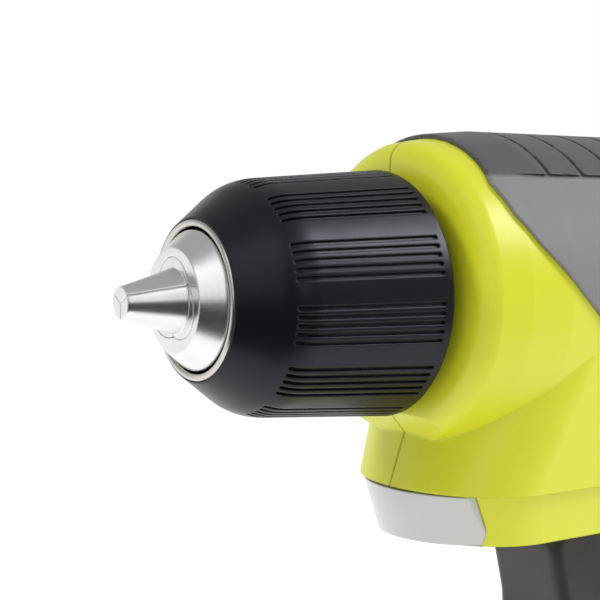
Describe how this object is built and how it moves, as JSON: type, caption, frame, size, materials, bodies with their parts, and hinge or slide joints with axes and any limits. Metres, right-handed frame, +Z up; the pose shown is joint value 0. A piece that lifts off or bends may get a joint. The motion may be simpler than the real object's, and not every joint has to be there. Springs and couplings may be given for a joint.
{
  "type": "cordless drill",
  "caption": "Compact pistol-grip cordless drill with a keyless chuck, planetary gearbox, brushed motor, trigger, lamp and slide-on battery pack.",
  "frame": {"origin": "centre of the battery pack's flat underside, on which the drill stands", "axes": "+Z up, the chuck points along -Y, +X is the drill's left side as its user holds it"},
  "size_m": [0.09, 0.1641, 0.2133],
  "materials": {
    "sleeve_plastic": "fine matt",
    "nose_ring_steel": "brushed",
    "turned_steel": "brushed",
    "jaw_steel": "brushed",
    "dark_steel": "satin",
    "bearing_steel": "polished",
    "gear_steel": "brushed",
    "cast_zinc": "cast",
    "plate_steel": "brushed",
    "ferrite": "satin",
    "lamination_steel": "brushed",
    "copper": "bright",
    "black_nylon": "fine matt",
    "lime_plastic": "satin gloss",
    "soft_grip": "matt",
    "trigger_plastic": "fine matt",
    "screw_steel": "satin",
    "clip_steel": "satin",
    "spring_steel": "polished",
    "lamp_lens": "satin gloss",
    "board_green": "fine matt",
    "heat_sink": "cast",
    "contact_metal": "bright",
    "wire_red": "matt",
    "wire_black": "matt",
    "pack_plastic": "fine matt",
    "cell_wrap": "satin gloss",
    "gauge_lens": "satin gloss",
    "gauge_button": "matt"
  },
  "bodies": {
    "root": {"housing_left": "lime_plastic", "housing_right": "lime_plastic", "grip_left": "soft_grip", "grip_right": "soft_grip", "housing_screws": "screw_steel", "lamp_lens": "lamp_lens", "lamp_board": "board_green", "belt_clip": "clip_steel", "switch_module": "black_nylon", "switch_heat_sink": "heat_sink", "trigger_spring": "spring_steel", "power_wires_red": "wire_red", "power_wires_black": "wire_black", "terminal_block": "black_nylon", "tool_blades": "contact_metal", "gearbox_housing": "cast_zinc", "ring_gear_1": "gear_steel", "ring_gear_2": "gear_steel", "front_bearing_outer": "bearing_steel", "motor_mount_plate": "plate_steel", "motor_can": "plate_steel", "motor_magnets": "ferrite", "motor_end_cap": "black_nylon", "motor_brushes": "copper"},
    "output": {"spindle": "gear_steel", "front_bearing_inner": "bearing_steel", "chuck_body": "turned_steel", "chuck_screw": "dark_steel", "chuck_thrust_bearing": "bearing_steel", "chuck_rear_cover": "dark_steel"},
    "sleeve": {"chuck_sleeve": "sleeve_plastic", "chuck_nose_ring": "nose_ring_steel", "chuck_nut": "dark_steel"},
    "carrier": {"first_carrier": "gear_steel"},
    "rotor": {"rotor_core": "lamination_steel", "rotor_windings": "copper", "rotor_shaft": "gear_steel", "motor_fan": "black_nylon"},
    "trigger": {"trigger": "trigger_plastic"},
    "direction_bar": {"direction_bar": "trigger_plastic"},
    "pack": {"pack_lower": "pack_plastic", "pack_upper": "pack_plastic", "pack_screws": "screw_steel", "pack_cells": "cell_wrap", "pack_contacts": "contact_metal", "pack_board": "board_green", "gauge_lens": "gauge_lens", "latch_springs": "spring_steel"},
    "gauge_button": {"gauge_button": "gauge_button"},
    "latch_left": {"latch_left": "trigger_plastic"},
    "latch_right": {"latch_right": "trigger_plastic"},
    "jaw_1": {"jaw_1": "jaw_steel"},
    "planet_1_1": {"planet_1_1": "gear_steel"},
    "planet_2_1": {"planet_2_1": "gear_steel"},
    "jaw_2": {"jaw_2": "jaw_steel"},
    "planet_1_2": {"planet_1_2": "gear_steel"},
    "planet_2_2": {"planet_2_2": "gear_steel"},
    "jaw_3": {"jaw_3": "jaw_steel"},
    "planet_1_3": {"planet_1_3": "gear_steel"},
    "planet_2_3": {"planet_2_3": "gear_steel"}
  },
  "joints": [
    {"name": "spindle_spin", "type": "hinge", "parent": "root", "child": "output", "pos_m": [0, -0.06, 0.188], "axis": [0, 1, 0], "continuous": true},
    {"name": "sleeve_turn", "type": "hinge", "parent": "output", "child": "sleeve", "pos_m": [0, -0.08, 0.188], "axis": [0, 1, 0], "range_deg": [0, 2520]},
    {"name": "carrier_spin", "type": "hinge", "parent": "root", "child": "carrier", "pos_m": [0, -0.033, 0.188], "axis": [0, 1, 0], "continuous": true},
    {"name": "rotor_spin", "type": "hinge", "parent": "root", "child": "rotor", "pos_m": [0, 0.01, 0.188], "axis": [0, 1, 0], "continuous": true},
    {"name": "trigger_pull", "type": "slide", "parent": "root", "child": "trigger", "axis": [0, 1, 0], "range_m": [0, 0.007], "stiffness_N_per_m": 600, "springref_m": -0.004, "deforming": ["trigger_spring"]},
    {"name": "direction_slide", "type": "slide", "parent": "root", "child": "direction_bar", "axis": [1, 0, 0], "range_m": [-0.003, 0.003]},
    {"name": "pack_slide", "type": "slide", "parent": "root", "child": "pack", "axis": [0, -1, 0], "range_m": [0, 0.09]},
    {"name": "gauge_press", "type": "slide", "parent": "pack", "child": "gauge_button", "axis": [0, 1, 0], "range_m": [0, 0.0008], "stiffness_N_per_m": 800, "springref_m": -0.0005},
    {"name": "latch_left_press", "type": "slide", "parent": "pack", "child": "latch_left", "axis": [-1, 0, 0], "range_m": [0, 0.003], "stiffness_N_per_m": 800, "springref_m": -0.002, "deforming": ["latch_springs"]},
    {"name": "latch_right_press", "type": "slide", "parent": "pack", "child": "latch_right", "axis": [1, 0, 0], "range_m": [0, 0.003], "stiffness_N_per_m": 800, "springref_m": -0.002, "deforming": ["latch_springs"]},
    {"name": "jaw_1_slide", "type": "slide", "parent": "output", "child": "jaw_1", "axis": [0, 0.9397, 0.342], "range_m": [0, 0.014]},
    {"name": "planet_2_1_spin", "type": "hinge", "parent": "output", "child": "planet_2_1", "pos_m": [0, -0.0392, 0.1988], "axis": [0, 1, 0], "continuous": true},
    {"name": "planet_1_1_spin", "type": "hinge", "parent": "carrier", "child": "planet_1_1", "pos_m": [0, -0.0288, 0.1988], "axis": [0, 1, 0], "continuous": true},
    {"name": "jaw_2_slide", "type": "slide", "parent": "output", "child": "jaw_2", "axis": [0.2962, 0.9397, -0.171], "range_m": [0, 0.014]},
    {"name": "planet_2_2_spin", "type": "hinge", "parent": "output", "child": "planet_2_2", "pos_m": [0.00935, -0.0392, 0.1826], "axis": [0, 1, 0], "continuous": true},
    {"name": "planet_1_2_spin", "type": "hinge", "parent": "carrier", "child": "planet_1_2", "pos_m": [0.00935, -0.0288, 0.1826], "axis": [0, 1, 0], "continuous": true},
    {"name": "jaw_3_slide", "type": "slide", "parent": "output", "child": "jaw_3", "axis": [-0.2962, 0.9397, -0.171], "range_m": [0, 0.014]},
    {"name": "planet_2_3_spin", "type": "hinge", "parent": "output", "child": "planet_2_3", "pos_m": [-0.00935, -0.0392, 0.1826], "axis": [0, 1, 0], "continuous": true},
    {"name": "planet_1_3_spin", "type": "hinge", "parent": "carrier", "child": "planet_1_3", "pos_m": [-0.00935, -0.0288, 0.1826], "axis": [0, 1, 0], "continuous": true}
  ],
  "couplings": [
    {"joint": "carrier_spin", "follows": "spindle_spin", "ratio": 4.5},
    {"joint": "rotor_spin", "follows": "spindle_spin", "ratio": 20.25},
    {"joint": "jaw_1_slide", "follows": "sleeve_turn", "m_per_rad": 0.00031831},
    {"joint": "planet_2_1_spin", "follows": "spindle_spin", "ratio": -2.8},
    {"joint": "planet_1_1_spin", "follows": "spindle_spin", "ratio": -12.6},
    {"joint": "jaw_2_slide", "follows": "sleeve_turn", "m_per_rad": 0.00031831},
    {"joint": "planet_2_2_spin", "follows": "spindle_spin", "ratio": -2.8},
    {"joint": "planet_1_2_spin", "follows": "spindle_spin", "ratio": -12.6},
    {"joint": "jaw_3_slide", "follows": "sleeve_turn", "m_per_rad": 0.00031831},
    {"joint": "planet_2_3_spin", "follows": "spindle_spin", "ratio": -2.8},
    {"joint": "planet_1_3_spin", "follows": "spindle_spin", "ratio": -12.6}
  ]
}
